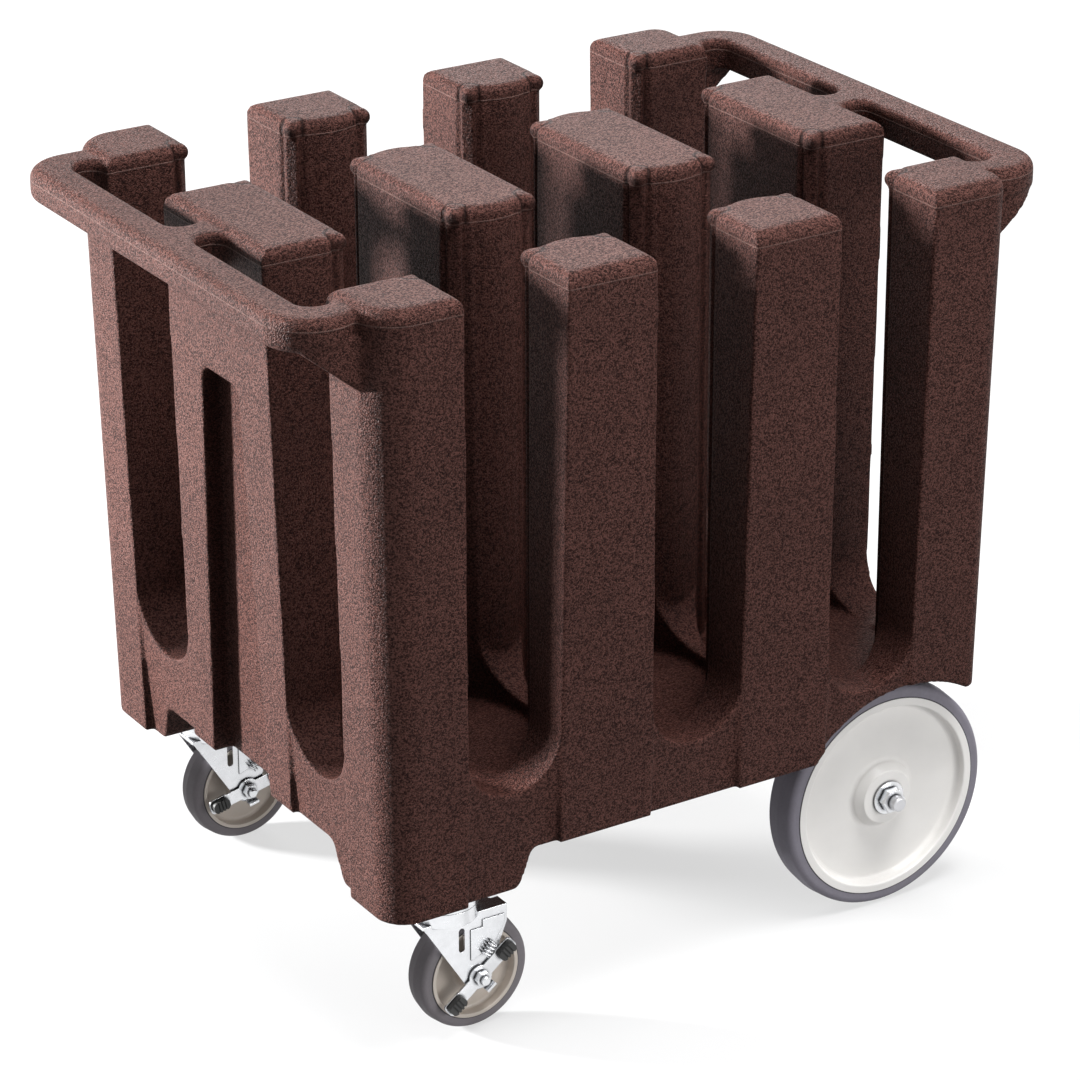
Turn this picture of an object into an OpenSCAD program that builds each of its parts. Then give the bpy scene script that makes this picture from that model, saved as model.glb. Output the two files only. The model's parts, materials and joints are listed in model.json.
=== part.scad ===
/* [Dish columns] */
// Number of dish columns along the body
cols = 3; // [2:1:4]
// Number of dish columns across the body
rows = 2; // [1:1:3]
// Distance between column centres along the body
col_pitch = 215; // [208:1:240]
// Distance between column centres across the body
row_pitch = 326; // [300:2:360]
// Radius of a round dish well
well_r = 99; // [94:1:102]
// Width of the tall slots in the long sides, at the top
side_slot_w = 114; // [104:1:118]
// Width of the tall slots in the ends, at the top
end_slot_w = 122; // [112:1:126]
// Narrowing of each slot wall from the top down to the slot floor
slot_draft = 4; // [1:0.5:6]
// Height of the sill between neighbouring wells above the well floor
sill_h = 16; // [8:1:30]
// Width of the upright dish guide ribs
rib_w = 15; // [12:1:18]
// Height of the ribs out of the well wall
rib_proud = 6.5; // [4:0.5:8]
// Radius of the top edges of the slots and the wells
post_r = 10; // [6:1:12]

/* [Body] */
// Height of the post tops above the floor
body_h = 812; // [740:4:900]
// Length of an end post along the body, at the top
end_post_l = 96; // [92:2:120]
// Width of a side post across the body, at the top
side_post_w = 92; // [90:2:110]
// Height of the underside above the floor
under_z = 210; // [204:1:216]
// Thickness of plastic over the wheel arch, under the well floor
floor_skin = 8; // [6:1:14]
// Inward slope of the outer walls over the whole height
wall_draft = 12; // [6:1:16]
// Radius of the upright corners at the caster end
corner_r = 45; // [30:1:60]
// Radius of the upright corners at the wheel end
wheel_corner_r = 25; // [18:1:40]
// Radius of the outer top edge
top_r = 14; // [8:1:16]
// Depth of the tapered recess under each slot, at the bottom
panel_recess = 9; // [4:1:12]
// Depth of the wide groove in the middle end post
groove_d = 22; // [12:1:28]
// Height of the top of that groove
groove_z = 650; // [560:5:690]
// Width of the groove at its top
groove_top_w = 76; // [60:2:90]
// Width of the groove at the bottom
groove_bottom_w = 124; // [100:2:130]
// Length of a caster foot along the body
foot_l = 155; // [148:1:170]
// Width of a caster foot across the body
foot_w = 116; // [110:1:124]

/* [Handles] */
// Reach of a handle beyond the end of the body
handle_reach = 75; // [66:1:90]
// Width of the handle bar, seen from above
bar_w = 42; // [34:1:46]
// Thickness of the handle bar
bar_t = 34; // [28:1:40]
// Distance from the side of the body to the outside of the handle
handle_inset = 30; // [26:1:40]
// Width of the middle stem of the handle
stem_w = 38; // [30:1:46]
// Height of the gusset under each handle arm
gusset_h = 44; // [30:1:60]

/* [Big wheels] */
// Radius of a big wheel
wheel_r = 127; // [120:1:130]
// Width of a big tyre
tyre_w = 41; // [36:1:44]
// Radial thickness of a big tyre
tyre_t = 15; // [13:0.5:20]
// Radius of the through axle
axle_r = 8; // [7:0.5:9]
// Distance from the wheel end of the body to the axle
axle_inset = 99.5; // [96:0.5:106]
// Distance from the side of the body to the middle of the tyre
wheel_inset = 66; // [62:1:70]
// Free space round the tyre in its arch
arch_gap = 16; // [12:1:20]

/* [Casters] */
// Radius of a caster wheel
cw_r = 63.5; // [60:0.5:65]
// Width of a caster tread
cw_w = 32; // [28:1:34]
// Radial thickness of a caster tread
cw_tread_t = 13.5; // [11.5:0.5:15]
// Distance of the wheel axle behind the swivel axis
trail = 28; // [24:1:34]
// Distance from the caster end of the body to the swivel axis
swivel_inset = 104; // [100:1:112]
// Distance from the side of the body to the swivel axis
swivel_side = 72; // [70:1:78]
// Thickness of the steel of the fork
leg_t = 3; // [2.5:0.5:4]
// Free width between the fork legs
fork_gap = 42; // [39:1:46]
// Height of the ball race between the top plate and the fork
race_h = 25; // [20:1:30]
// Length of the caster top plate along the body
plate_l = 96; // [90:1:104]
// Width of the caster top plate across the body
plate_w = 84; // [80:1:92]
// Thickness of the caster top plate
plate_t = 4; // [3:0.5:5]
// Radius of the caster axle bolt
bolt_r = 4.75; // [4:0.25:5.5]
// Angle of the right brake pedal above level, in degrees
pedal_angle_right = 38; // [30:1:40]
// Angle of the left brake pedal above level, in degrees
pedal_angle_left = 13; // [10:1:20]

/* [Hidden] */
$fn = 64;

// Overrun of every cut past the face that it opens
cut = 10;
// Running clearance of a shaft in its hole
run_gap = 0.06;
// Clearance between flat faces that move past each other
face_gap = 0.2;

// Overall body size at the top
body_l = (cols - 1) * col_pitch + side_slot_w + 2 * end_post_l;
body_w = (rows - 1) * row_pitch + end_slot_w + 2 * side_post_w;
col_x = [for (i = [0 : cols - 1]) (i - (cols - 1) / 2) * col_pitch];
post_x = [for (i = [0 : 1 : cols - 2]) (col_x[i] + col_x[i + 1]) / 2];
row_y = [for (i = [0 : rows - 1]) (i - (rows - 1) / 2) * row_pitch];
last_x = col_x[cols - 1];
last_y = row_y[rows - 1];

// Heights that follow from the wheels and the casters
crown_gap = 7;
crown_z = 2 * cw_r + crown_gap;
foot_z = crown_z + leg_t + race_h + plate_t;
arch_r = wheel_r + arch_gap;
floor_z = wheel_r + arch_r + floor_skin;
core_r = wheel_r - tyre_t;
cw_core_r = cw_r - cw_tread_t;
side_slot_r = side_slot_w / 2 - slot_draft;
end_slot_r = end_slot_w / 2 - slot_draft;

// Small forms of the body
step_r = 12;
step_lean = 72;
step_share = [0, 0.25, 0.5, 0.75, 1];
rib_root = 14;
bulge_rise = 5;
bulge_r = 60;
bulge_half = 26;
opening_r = 16;
opening_edge_r = 8;
groove_corner_r = 14;
handle_drop = 4;
handle_corner_r = 50;
bar_top_r = 12;
bar_bottom_r = 9;
handle_root = 8;
gusset_inset = 1.5;
gusset_root_share = 0.5;
arch_tail_x = 74;
arch_tail_z = wheel_r + sqrt(arch_r * arch_r - arch_tail_x * arch_tail_x);
hump_r = 30;
hump_side = 161;
hump_w = 55;
hump_base_l = 124;
sleeve_r = 11;

// Places of the wheels and the casters
axle_x = body_l / 2 - axle_inset;
wheel_y = body_w / 2 - wheel_inset;
swivel_x = -body_l / 2 + swivel_inset;
swivel_y = body_w / 2 - swivel_side;
cw_x = swivel_x + trail;
pocket_y = wheel_y - tyre_w / 2 - face_gap - floor_skin;

// Inward slope of the outer wall at a height
function inset(z) = wall_draft * (body_h - top_r - z) / (body_h - top_r - foot_z);

// Points on an arc about a centre, from one angle to another
function arc(c, r, a0, a1, n = 6) =
    [for (i = [0 : n]) [c[0] + r * cos(a0 + (a1 - a0) * i / n), c[1] + r * sin(a0 + (a1 - a0) * i / n)]];

// Edge of a foot: a rounded lower corner, a steep wall and a hollow upper corner
function step_run() = 2 * step_r * sin(step_lean)
    + (under_z - foot_z - 2 * step_r * (1 - cos(step_lean))) / tan(step_lean);
function step_edge(x) = concat(
    [for (s = step_share) let (a = s * step_lean) [x + step_r * sin(a), foot_z + step_r * (1 - cos(a))]],
    [for (s = step_share) let (a = (1 - s) * step_lean)
        [x + step_run() - step_r * sin(a), under_z - step_r * (1 - cos(a))]]);

module along_x(x0, x1) {
    translate([x0, 0, 0]) rotate([90, 0, 90]) linear_extrude(x1 - x0) children();
}
module along_y(y0, y1) {
    translate([0, y1, 0]) rotate([90, 0, 0]) linear_extrude(y1 - y0) children();
}
module both_sides() {
    children();
    mirror([0, 1, 0]) children();
}
module both_ends() {
    children();
    mirror([1, 0, 0]) children();
}

// Section of an outer wall with its slope and its rounded top edge
module wall_section(half) {
    polygon([[0, foot_z], [half - wall_draft, foot_z], [half, body_h - top_r], [0, body_h - top_r]]);
    translate([0, foot_z]) square([half - top_r, body_h - foot_z]);
    translate([half - top_r, body_h - top_r]) circle(top_r);
}
module solid_wall_section(half) {
    intersection() {
        wall_section(half);
        translate([0, foot_z]) square([half, body_h - foot_z]);
    }
}
module whole_section(half) {
    solid_wall_section(half);
    mirror([1, 0]) solid_wall_section(half);
}
module body_corner(x, y, r) {
    translate([x, y, 0]) rotate_extrude() solid_wall_section(r);
}
module body_blank() {
    along_x(-body_l / 2 + corner_r, body_l / 2 - wheel_corner_r) whole_section(body_w / 2);
    along_y(-body_w / 2 + corner_r, body_w / 2 - corner_r)
        mirror([1, 0]) solid_wall_section(body_l / 2);
    along_y(-body_w / 2 + wheel_corner_r, body_w / 2 - wheel_corner_r)
        solid_wall_section(body_l / 2);
    both_sides() {
        body_corner(-body_l / 2 + corner_r, body_w / 2 - corner_r, corner_r);
        body_corner(body_l / 2 - wheel_corner_r, body_w / 2 - wheel_corner_r, wheel_corner_r);
    }
}

// Section of an opening from its middle to its wall, with the rounding of its top edge
module mouth_section(half, bottom, top, r) {
    translate([0, bottom]) square([half, top - r - bottom]);
    difference() {
        translate([0, top - r]) square([half + r, r + cut]);
        translate([half + r, top - r]) circle(r);
    }
}

// Upright slot with sloping walls, a round floor and rounded top edges
module slot_section(w, r, z) {
    low = body_h - post_r;
    translate([0, z + r]) circle(r);
    polygon([[-r, z + r], [r, z + r], [w / 2, low], [-w / 2, low]]);
    difference() {
        translate([-w / 2 - post_r, low]) square([w + 2 * post_r, post_r + cut]);
        for (s = [-1, 1]) translate([s * (w / 2 + post_r), low]) circle(post_r);
    }
}
module side_slots() {
    for (x = col_x) translate([x, 0, 0]) {
        both_sides() along_y(last_y, body_w / 2 + cut) slot_section(side_slot_w, side_slot_r, floor_z);
        along_y(-last_y, last_y) slot_section(side_slot_w, side_slot_r, floor_z + sill_h);
    }
}
module end_slots() {
    for (y = row_y) translate([0, y, 0]) {
        both_ends() along_x(last_x, body_l / 2 + face_gap) slot_section(end_slot_w, end_slot_r, floor_z);
        along_x(-last_x, last_x) slot_section(end_slot_w, end_slot_r, floor_z + sill_h);
    }
}
module at_wells() {
    for (x = col_x) for (y = row_y) translate([x, y, 0]) children();
}
module wells() {
    at_wells() rotate_extrude() mouth_section(well_r, floor_z, body_h, post_r);
}

// Four upright ribs that guide the stack of dishes in each well
module rib_section() {
    low = body_h - post_r;
    bottom = floor_z - floor_skin / 2;
    front = well_r - rib_proud;
    translate([front, bottom]) square([rib_proud + rib_root, low - bottom]);
    translate([front + post_r, low]) square([rib_proud + rib_root - post_r, post_r]);
    translate([front + post_r, low]) circle(post_r);
}
module ribs() {
    corner_a = atan2(end_slot_w, side_slot_w);
    at_wells() for (a = [corner_a, 180 - corner_a, 180 + corner_a, 360 - corner_a])
        rotate([0, 0, a]) along_y(-rib_w / 2, rib_w / 2) rib_section();
}

// Crowned faces of the posts between neighbouring wells
module bulge_section() {
    low = body_h - post_r;
    polygon([[0, floor_z], [bulge_r + slot_draft, floor_z], [bulge_r, low], [0, low]]);
    translate([0, floor_z]) square([bulge_r - post_r, body_h - floor_z]);
    intersection() {
        translate([bulge_r - post_r, low]) circle(post_r);
        translate([0, floor_z]) square([bulge_r, body_h - floor_z]);
    }
}
module bulges() {
    near = end_slot_w / 2 - bulge_rise;
    bottom = floor_z + sill_h + end_slot_r / 2;
    for (x = post_x) for (y = row_y) translate([x, y, 0]) both_sides() intersection() {
        translate([0, near + bulge_r, 0]) rotate_extrude() bulge_section();
        translate([-bulge_half, near - cut, bottom]) cube([2 * bulge_half, 2 * cut, body_h - bottom]);
    }
}

// Tapered recess below a slot, flush at the top and deepest at the bottom
module recess_section(half, r) {
    z = floor_z + r;
    polygon([[half - inset(z), z], [half + cut, z], [half + cut, foot_z - cut],
        [half - wall_draft - panel_recess, foot_z - cut], [half - wall_draft - panel_recess, foot_z]]);
}
module panel_recesses() {
    both_sides() for (x = col_x) along_x(x - side_slot_r, x + side_slot_r)
        recess_section(body_w / 2, side_slot_r);
    both_ends() for (y = row_y) along_y(y - end_slot_r, y + end_slot_r)
        recess_section(body_l / 2, end_slot_r);
}
module groove_outline() {
    low = groove_z - groove_corner_r;
    polygon([[-groove_top_w / 2, low], [groove_top_w / 2, low],
        [groove_bottom_w / 2, foot_z], [-groove_bottom_w / 2, foot_z]]);
    translate([-groove_top_w / 2 + groove_corner_r, low])
        square([groove_top_w - 2 * groove_corner_r, groove_corner_r]);
    for (s = [-1, 1]) translate([s * (groove_top_w / 2 - groove_corner_r), low]) circle(groove_corner_r);
}
module end_grooves() {
    both_ends() intersection() {
        along_x(body_l / 2 - groove_d - wall_draft, body_l / 2 + cut)
            groove_outline();
        along_y(-groove_bottom_w / 2, groove_bottom_w / 2)
            polygon([[body_l / 2 - groove_d - wall_draft, foot_z],
                [body_l / 2 - groove_d - inset(groove_z), groove_z],
                [body_l / 2 + cut, groove_z], [body_l / 2 + cut, foot_z]]);
    }
}

// Space under the raised underside, which leaves the two caster feet
module underside() {
    far = body_l / 2 + cut;
    low = foot_z - cut;
    foot_x = -body_l / 2 + foot_l;
    foot_y = body_w / 2 - foot_w;
    along_y(-body_w / 2 - cut, body_w / 2 + cut)
        polygon(concat([[foot_x, low]], step_edge(foot_x), [[far, under_z], [far, low]]));
    along_x(-far, far)
        polygon(concat([[-foot_y, low]], step_edge(-foot_y),
            [for (i = [2 * len(step_share) - 1 : -1 : 0]) [-step_edge(-foot_y)[i][0], step_edge(-foot_y)[i][1]]],
            [[foot_y, low]]));
}
module wheel_arches() {
    both_sides() translate([axle_x, body_w / 2 + cut, wheel_r]) rotate([90, 0, 0])
        cylinder(r = arch_r, h = body_w / 2 + cut - pocket_y, $fn = 128);
    both_sides() translate([axle_x + arch_tail_x, pocket_y, foot_z])
        cube([body_l / 2, body_w / 2 + cut - pocket_y, arch_tail_z - foot_z]);
}

// Blocks of the moulding that carry the axle between the wheels
module axle_humps() {
    both_sides() difference() {
        along_y(hump_side, hump_side + hump_w) {
            translate([axle_x, wheel_r]) circle(hump_r);
            polygon([[axle_x - hump_r, wheel_r], [axle_x + hump_r, wheel_r],
                [axle_x + hump_base_l / 2, under_z + floor_skin],
                [axle_x - hump_base_l / 2, under_z + floor_skin]]);
        }
        translate([axle_x, hump_side + hump_w + cut, wheel_r]) rotate([90, 0, 0])
            cylinder(r = sleeve_r, h = hump_w + 2 * cut);
    }
}

// Section of the handle slab: flat inside and rounded along its outer edge
module slab_section(half) {
    top = body_h - handle_drop;
    low = top - bar_t;
    translate([0, low + bar_bottom_r]) square([half, bar_t - bar_bottom_r - bar_top_r]);
    translate([0, low]) square([half - bar_top_r, bar_t]);
    translate([half - bar_top_r, top - bar_top_r]) circle(bar_top_r);
    translate([half - bar_bottom_r, low + bar_bottom_r]) circle(bar_bottom_r);
}
module rounded_rect(l, w, r) {
    translate([r, 0]) square([l - 2 * r, w]);
    translate([0, r]) square([l, w - 2 * r]);
    for (x = [r, l - r]) for (y = [r, w - r]) translate([x, y]) circle(r);
}
// Hand opening beside the stem, with a rounded top edge
module hand_opening(l, w) {
    low = body_h - handle_drop - bar_t - cut;
    top = body_h - handle_drop;
    for (x = [opening_r, l - opening_r]) for (y = [opening_r, w - opening_r])
        translate([x, y, 0]) rotate_extrude() mouth_section(opening_r, low, top, opening_edge_r);
    translate([0, w / 2, 0]) both_sides() along_x(opening_r, l - opening_r)
        mouth_section(w / 2, low, top, opening_edge_r);
    translate([l / 2, 0, 0]) both_ends() along_y(opening_r, w - opening_r)
        mouth_section(l / 2, low, top, opening_edge_r);
    translate([-handle_root - cut, opening_r, low])
        cube([handle_root + cut + opening_r, w - 2 * opening_r, top + cut - low]);
}

// Outline, seen from above, of the gusset that carries an arm
module gusset_plan(x0, x1, half) {
    near = half - bar_w + gusset_inset;
    turn_x = x1 - handle_corner_r;
    translate([x0, near]) square([turn_x - x0, bar_w - 2 * gusset_inset]);
    intersection() {
        translate([turn_x, half - handle_corner_r]) circle(handle_corner_r - gusset_inset);
        translate([turn_x, near]) square([handle_corner_r, bar_w]);
    }
}
module handle() {
    x0 = body_l / 2 - handle_root;
    x1 = body_l / 2 + handle_reach;
    half = body_w / 2 - handle_inset;
    low = body_h - handle_drop - bar_t;
    difference() {
        union() {
            along_x(x0, x1 - handle_corner_r) {
                slab_section(half);
                mirror([1, 0]) slab_section(half);
            }
            intersection() {
                along_y(-half + handle_corner_r, half - handle_corner_r) slab_section(x1);
                translate([x0, -half, low]) cube([x1 - x0, 2 * half, bar_t]);
            }
            both_sides() intersection() {
                translate([x1 - handle_corner_r, half - handle_corner_r, 0])
                    rotate_extrude() slab_section(handle_corner_r);
                translate([x0, 0, low]) cube([x1 - x0, half, bar_t]);
            }
        }
        both_sides() translate([body_l / 2, stem_w / 2, 0])
            hand_opening(handle_reach - bar_w, half - bar_w - stem_w / 2);
    }
    both_sides() intersection() {
        translate([0, 0, low - gusset_h]) linear_extrude(gusset_h + bar_bottom_r) gusset_plan(x0, x1, half);
        along_y(0, half) polygon([[x0, low - gusset_h], [body_l / 2, low - gusset_h],
            [x1 - bar_w * gusset_root_share, low], [x1 - bar_w * gusset_root_share, low + bar_bottom_r],
            [x0, low + bar_bottom_r]]);
    }
}

// Places of the four bolts of a caster top plate
hole_l = plate_l * 0.79;
hole_w = plate_w * 0.72;
module at_plate_bolts() {
    for (x = [-hole_l / 2, hole_l / 2]) for (y = [-hole_w / 2, hole_w / 2])
        translate([x, y, 0]) children();
}
module at_casters() {
    for (s = [-1, 1]) translate([swivel_x, s * swivel_y, 0]) children();
}
insert_r = 7;
insert_h = 26;
screw_r = 4;
screw_h = 18;
screw_head_r = 7.5;
screw_head_h = 5.5;

module body() {
    color([0.27, 0.18, 0.16]) difference() {
        union() {
            difference() {
                union() {
                    body_blank();
                    both_ends() handle();
                }
                side_slots();
                end_slots();
                wells();
                panel_recesses();
                end_grooves();
                underside();
                wheel_arches();
            }
            ribs();
            bulges();
            axle_humps();
        }
        at_casters() at_plate_bolts() translate([0, 0, foot_z - cut])
            cylinder(r = insert_r, h = insert_h + cut);
    }
}
module caster_inserts() {
    color([0.8, 0.68, 0.35]) at_casters() at_plate_bolts() difference() {
        translate([0, 0, foot_z]) cylinder(r = insert_r, h = insert_h);
        translate([0, 0, foot_z - cut]) cylinder(r = screw_r + run_gap, h = screw_h + 2 * cut - plate_t);
    }
}
module caster_bolts() {
    color([0.8, 0.8, 0.82]) at_casters() at_plate_bolts() {
        translate([0, 0, foot_z - plate_t - screw_head_h]) cylinder(r = screw_head_r, h = screw_head_h, $fn = 6);
        translate([0, 0, foot_z - plate_t]) cylinder(r = screw_r, h = screw_h);
    }
}
module axle_sleeves() {
    color([0.72, 0.72, 0.74]) both_sides() translate([axle_x, hump_side + hump_w, wheel_r])
        rotate([90, 0, 0]) difference() {
            cylinder(r = sleeve_r, h = hump_w);
            translate([0, 0, -cut]) cylinder(r = axle_r + run_gap, h = hump_w + 2 * cut);
        }
}

// Swivel joint of a caster: a race ring on the plate, the balls and a kingpin
race_r = 30;
race_w = 12;
race_lip_h = 7;
ball_r = 4;
ball_count = 18;
kingpin_r = 7;
kingpin_head_r = 12;
kingpin_head_h = 3;
plate_corner_r = 8;
race_mid_z = crown_z + leg_t + race_h / 2;
module top_plate() {
    color([0.8, 0.8, 0.82]) difference() {
        union() {
            translate([-plate_l / 2, -plate_w / 2, foot_z - plate_t])
                linear_extrude(plate_t) rounded_rect(plate_l, plate_w, plate_corner_r);
            translate([0, 0, race_mid_z + face_gap])
                cylinder(r = race_r + race_w / 2, h = foot_z - plate_t - race_mid_z - face_gap);
        }
        translate([0, 0, race_mid_z]) rotate_extrude() translate([race_r, 0]) circle(ball_r + run_gap);
        translate([0, 0, crown_z]) cylinder(r = kingpin_r + run_gap, h = foot_z - crown_z + cut);
        at_plate_bolts() translate([0, 0, foot_z - plate_t - cut])
            cylinder(r = screw_r + face_gap, h = plate_t + 2 * cut);
    }
}
module kingpin() {
    color([0.75, 0.75, 0.77]) {
        translate([0, 0, crown_z - kingpin_head_h - face_gap]) cylinder(r = kingpin_head_r, h = kingpin_head_h);
        translate([0, 0, crown_z - kingpin_head_h - face_gap])
            cylinder(r = kingpin_r, h = foot_z - crown_z + kingpin_head_h + face_gap);
    }
}
module swivel_balls() {
    color([0.85, 0.85, 0.87]) for (i = [0 : ball_count - 1]) rotate([0, 0, i * 360 / ball_count])
        translate([race_r, 0, race_mid_z]) sphere(r = ball_r);
}

// Fork: a crown with the lower race and two tapered legs
leg_front = 37;
leg_back = 61;
leg_back_z_share = 0.86;
leg_neck_z_share = 0.71;
leg_neck_share = 0.75;
boss_r = 15;
window_r = 3.5;
window_h = 20;
window_x = 8;
pad_t = 1.2;
pad_x = 18;
pad_step_l = 14;
pad_step_h = 8;
module leg_section() {
    top = crown_z + leg_t;
    union() {
        polygon([[-leg_front, top], [leg_back, top], [leg_back, top * leg_back_z_share],
            [trail + (leg_back - trail) * leg_neck_share, top * leg_neck_z_share],
            [trail + boss_r, cw_r], [trail - boss_r, cw_r - boss_r / 2]]);
        translate([trail, cw_r]) circle(boss_r);
    }
}
module leg_window() {
    for (z = [0, window_h]) translate([window_x, crown_z - window_r * 4 - z]) circle(window_r);
    translate([window_x - window_r, crown_z - window_r * 4 - window_h]) square([2 * window_r, window_h]);
}
module fork_pad_section() {
    top = crown_z - window_r * 2;
    polygon([[pad_x, top - pad_step_h], [pad_x + pad_step_l, top - pad_step_h], [pad_x + pad_step_l, top],
        [leg_back - window_r, top], [leg_back - window_r, (crown_z + leg_t) * leg_back_z_share],
        [trail + boss_r, cw_r + boss_r * 2], [pad_x, cw_r + boss_r * 1.4]]);
}
module fork() {
    color([0.82, 0.82, 0.84]) difference() {
        union() {
            both_sides() along_y(fork_gap / 2, fork_gap / 2 + leg_t) difference() {
                leg_section();
                leg_window();
            }
            both_sides() along_y(fork_gap / 2, fork_gap / 2 + leg_t + pad_t) fork_pad_section();
            translate([-leg_front, -fork_gap / 2 - leg_t, crown_z])
                cube([leg_front + leg_back, fork_gap + 2 * leg_t, leg_t]);
            translate([0, 0, crown_z]) cylinder(r = race_r + race_w / 2, h = race_mid_z - face_gap - crown_z);
        }
        translate([0, 0, race_mid_z]) rotate_extrude() translate([race_r, 0]) circle(ball_r + run_gap);
        translate([0, 0, crown_z - cut]) cylinder(r = kingpin_r + run_gap, h = foot_z - crown_z + cut);
        translate([trail, fork_gap, cw_r]) rotate([90, 0, 0]) cylinder(r = bolt_r + run_gap, h = 2 * fork_gap);
    }
}

// Caster axle: a hex bolt from the inner side, a nut over the pedal, a spacer sleeve and a bearing
hex_r = 8.5;
hex_h = 6;
nut_h = 7;
bolt_tip = 4;
bolt_chamfer = 1;
pedal_t = 2.5;
spacer_t = 1.6;
bearing_t = 3;
leg_out = fork_gap / 2 + leg_t;
nut_y = leg_out + pedal_t + 2 * face_gap;
module along_axle(y0, y1) {
    translate([trail, y1, cw_r]) rotate([90, 0, 0]) linear_extrude(y1 - y0) children();
}
module caster_axle() {
    color([0.8, 0.8, 0.82]) {
        along_axle(leg_out, leg_out + hex_h) circle(hex_r, $fn = 6);
        along_axle(-nut_y - nut_h - bolt_tip, leg_out) circle(bolt_r);
        translate([trail, -nut_y - nut_h - bolt_tip, cw_r]) rotate([90, 0, 0])
            cylinder(r1 = bolt_r, r2 = bolt_r - bolt_chamfer, h = bolt_chamfer);
    }
}
module caster_nut() {
    color([0.85, 0.85, 0.87]) along_axle(-nut_y - nut_h, -nut_y) difference() {
        circle(hex_r, $fn = 6);
        circle(bolt_r);
    }
}
module spacer_sleeve() {
    color([0.7, 0.7, 0.72]) along_axle(-fork_gap / 2, fork_gap / 2) difference() {
        circle(bolt_r + run_gap + spacer_t);
        circle(bolt_r + run_gap);
    }
}
bearing_in_r = bolt_r + 2 * run_gap + spacer_t;
hub_half = fork_gap / 2 - face_gap;
module caster_bearing() {
    color([0.9, 0.88, 0.8]) along_axle(-hub_half, hub_half) difference() {
        circle(bearing_in_r + bearing_t);
        circle(bearing_in_r);
    }
}

// Wheel core turned from one section: hub, web and rim ring
cw_hub_r = 15;
cw_hub_root_r = 18;
cw_web_half = 4.5;
cw_ring_t = 4;
cw_ring_lip = 0.8;
cw_edge_r = 1;
cw_fillet_r = 4;

// Points along one face of a core, from the bore over hub, hollow web and rim; h holds their heights
function core_face(bore, hub, root, rim_in, rim_out, h, edge, fillet) = concat(
    [[bore, h[0]]],
    arc([hub - edge, h[0] - edge], edge, 90, 15, 3),
    arc([root + fillet, h[1] + fillet], fillet, 195, 270, 4),
    arc([rim_in - fillet, h[1] + fillet], fillet, 270, 345, 4),
    arc([rim_in + edge, h[2] - edge], edge, 165, 90, 3),
    [[rim_out, h[2]]]);
module core_section(outer, inner) {
    polygon(concat([for (p = outer) [p[0], -p[1]]], [for (i = [len(inner) - 1 : -1 : 0]) inner[i]]));
}
module turned(x, y, z) {
    translate([x, y, z]) rotate([90, 0, 0]) rotate_extrude($fn = 96) children();
}
module caster_core() {
    face = core_face(bearing_in_r + bearing_t, cw_hub_r, cw_hub_root_r, cw_core_r - cw_ring_t, cw_core_r,
        [hub_half, cw_web_half, cw_w / 2 + cw_ring_lip], cw_edge_r, cw_fillet_r);
    color([0.67, 0.62, 0.57]) turned(trail, 0, cw_r) core_section(face, face);
}
tread_edge_r = 6;
tread_crown = 1.5;
module tread_section(r0, r1, w, edge, crown) {
    polygon(concat([[r0, -w / 2]],
        arc([r1 - crown - edge, -w / 2 + edge], edge, -90, -10),
        [[r1, 0]],
        arc([r1 - crown - edge, w / 2 - edge], edge, 10, 90),
        [[r0, w / 2]]));
}
module caster_tread() {
    color([0.42, 0.4, 0.44]) turned(trail, 0, cw_r)
        tread_section(cw_core_r, cw_r, cw_w, tread_edge_r, tread_crown);
}

// Double ended brake pedal that rocks on the axle bolt, with a pad on each arm
pedal_reach = 37;
pedal_hub_r = 13;
pad_len = 20;
pad_depth = 13;
pad_rise = 6;
pad_rim = 2;
pad_corner_r = 5;
pedal_arm_w = 15;
tab_l = 12;
tab_drop = 17;
tab_t = 3;
function pedal_y() = leg_out + face_gap;
module pedal_frame(lean) {
    translate([trail, 0, cw_r]) rotate([0, -lean, 0]) children();
}
module pad_outline(grow) {
    translate([-pad_len / 2 - grow, -pad_depth / 2 - grow])
        rounded_rect(pad_len + 2 * grow, pad_depth + 2 * grow, pad_corner_r);
}
module brake_pedal(lean) {
    color([0.84, 0.84, 0.86]) pedal_frame(lean) {
        along_y(-pedal_y() - pedal_t, -pedal_y()) difference() {
            union() {
                circle(pedal_hub_r);
                translate([-pedal_reach, -pedal_arm_w / 2]) square([2 * pedal_reach, pedal_arm_w]);
                for (s = [-1, 1]) translate([s * pedal_reach, 0]) pad_outline(pad_rim);
            }
            circle(bolt_r + run_gap);
        }
        along_y(-pedal_y() - pedal_t - pad_rise, -pedal_y() - pedal_t)
            translate([-tab_l / 2, -tab_drop]) square([tab_l, tab_t]);
        along_y(-pedal_y() - pedal_t, -pedal_y())
            translate([-tab_l / 2, -tab_drop]) square([tab_l, tab_drop - bolt_r - tab_t]);
    }
}
groove_w = 1.6;
groove_gap = 4;
module brake_pads(lean) {
    color([0.08, 0.08, 0.08]) pedal_frame(lean) for (s = [-1, 1]) translate([s * pedal_reach, 0, 0])
        difference() {
            along_y(-pedal_y() - pedal_t - pad_rise, -pedal_y() - pedal_t) pad_outline(0);
            for (i = [-1 : 1]) translate([i * groove_gap - groove_w / 2, -pedal_y() - pedal_t - pad_rise - cut,
                -pad_depth / 2 - cut]) cube([groove_w, cut + groove_w, pad_depth + 2 * cut]);
        }
}

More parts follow.
